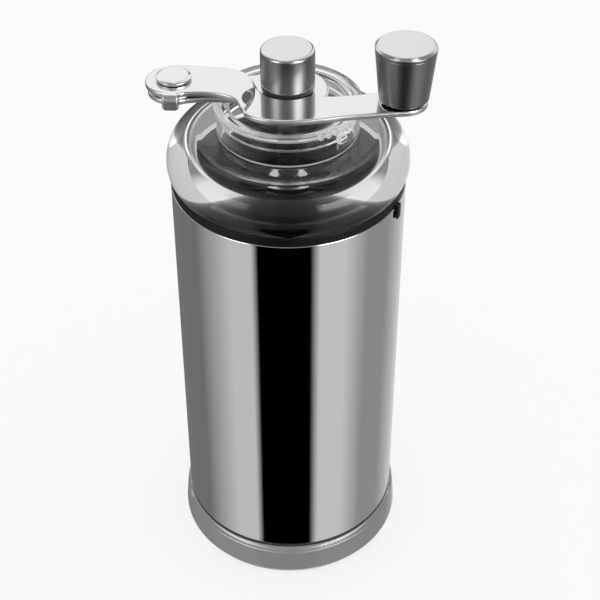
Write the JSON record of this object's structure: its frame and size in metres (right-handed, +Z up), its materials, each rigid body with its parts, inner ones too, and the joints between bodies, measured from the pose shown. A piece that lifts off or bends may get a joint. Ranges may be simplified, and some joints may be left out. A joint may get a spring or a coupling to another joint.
{
  "type": "manual coffee grinder",
  "caption": "Tall round hand grinder: steel sleeve over a clear jar, clear domed hopper with lid, conical burrs and a folding crank with a tapered knob.",
  "frame": {"origin": "centre of the jar's flat underside, on the spindle's axis", "axes": "+Z up along the spindle, +X to the side on which the folded crank carries its knob, -Y towards the front"},
  "size_m": [0.0841, 0.0756, 0.1928],
  "materials": {
    "clear_acrylic": "clear polished acrylic",
    "polished_steel": "mirror-polished stainless steel",
    "crank_steel": "polished pressed steel",
    "knob_steel": "polished turned steel",
    "plain_steel": "plain turned steel",
    "black_plastic": "black moulded plastic",
    "black_rubber": "soft black rubber",
    "ceramic": "unglazed white ceramic"
  },
  "bodies": {
    "body": {"jar": "clear_acrylic", "steel_sleeve": "polished_steel"},
    "head": {"jar_gasket": "black_rubber", "collar": "black_plastic", "hopper": "clear_acrylic", "funnel": "black_plastic", "bushing": "plain_steel", "burr_housing": "black_plastic", "outer_burr": "ceramic", "burr_retainer": "black_plastic", "retainer_screw_1": "plain_steel", "retainer_screw_2": "plain_steel", "retainer_screw_3": "plain_steel", "flange_screw_1": "plain_steel", "flange_screw_2": "plain_steel", "flange_screw_3": "plain_steel"},
    "spindle": {"spindle": "plain_steel", "spindle_clip": "plain_steel", "spring_washer": "plain_steel", "burr_spring": "plain_steel"},
    "burr": {"inner_burr": "ceramic", "click_plate": "plain_steel"},
    "nut": {"adjusting_nut": "black_plastic"},
    "lid": {"lid": "clear_acrylic"},
    "crank": {"hub_washer": "plain_steel", "inner_link": "crank_steel", "cap_washer": "black_plastic", "crank_cap": "knob_steel", "pivot_washer": "plain_steel", "pivot_rivet": "crank_steel"},
    "arm": {"outer_link": "crank_steel", "knob_pin": "plain_steel", "knob_washer": "black_plastic"},
    "knob": {"knob": "knob_steel", "knob_cap": "knob_steel"}
  },
  "joints": [
    {"name": "head_lift", "type": "slide", "parent": "body", "child": "head", "axis": [0, 0, 1], "range_m": [0, 0.08]},
    {"name": "spindle_spin", "type": "hinge", "parent": "head", "child": "spindle", "pos_m": [0, 0, 0.137], "axis": [0, 0, 1], "continuous": true},
    {"name": "burr_adjust", "type": "slide", "parent": "spindle", "child": "burr", "axis": [0, 0, 1], "range_m": [-0.0006, 0.0006], "deforming": ["burr_spring"]},
    {"name": "nut_turn", "type": "hinge", "parent": "burr", "child": "nut", "pos_m": [0, 0, 0.109], "axis": [0, 0, 1], "range_deg": [-270, 270]},
    {"name": "crank_lift", "type": "slide", "parent": "spindle", "child": "crank", "axis": [0, 0, 1], "range_m": [0, 0.02]},
    {"name": "lid_lift", "type": "slide", "parent": "head", "child": "lid", "axis": [0, 0, 1], "range_m": [0, 0.02]},
    {"name": "arm_fold", "type": "hinge", "parent": "crank", "child": "arm", "pos_m": [-0.03338, 0.0012, 0.1746], "axis": [0, 0, 1], "range_deg": [-180, 0]},
    {"name": "knob_spin", "type": "hinge", "parent": "arm", "child": "knob", "pos_m": [0.03328, -0.0095, 0.183], "axis": [0, 0, 1], "continuous": true}
  ],
  "couplings": [
    {"joint": "lid_lift", "follows": "crank_lift", "ratio": 1},
    {"joint": "nut_turn", "follows": "burr_adjust", "rad_per_m": 7854}
  ]
}
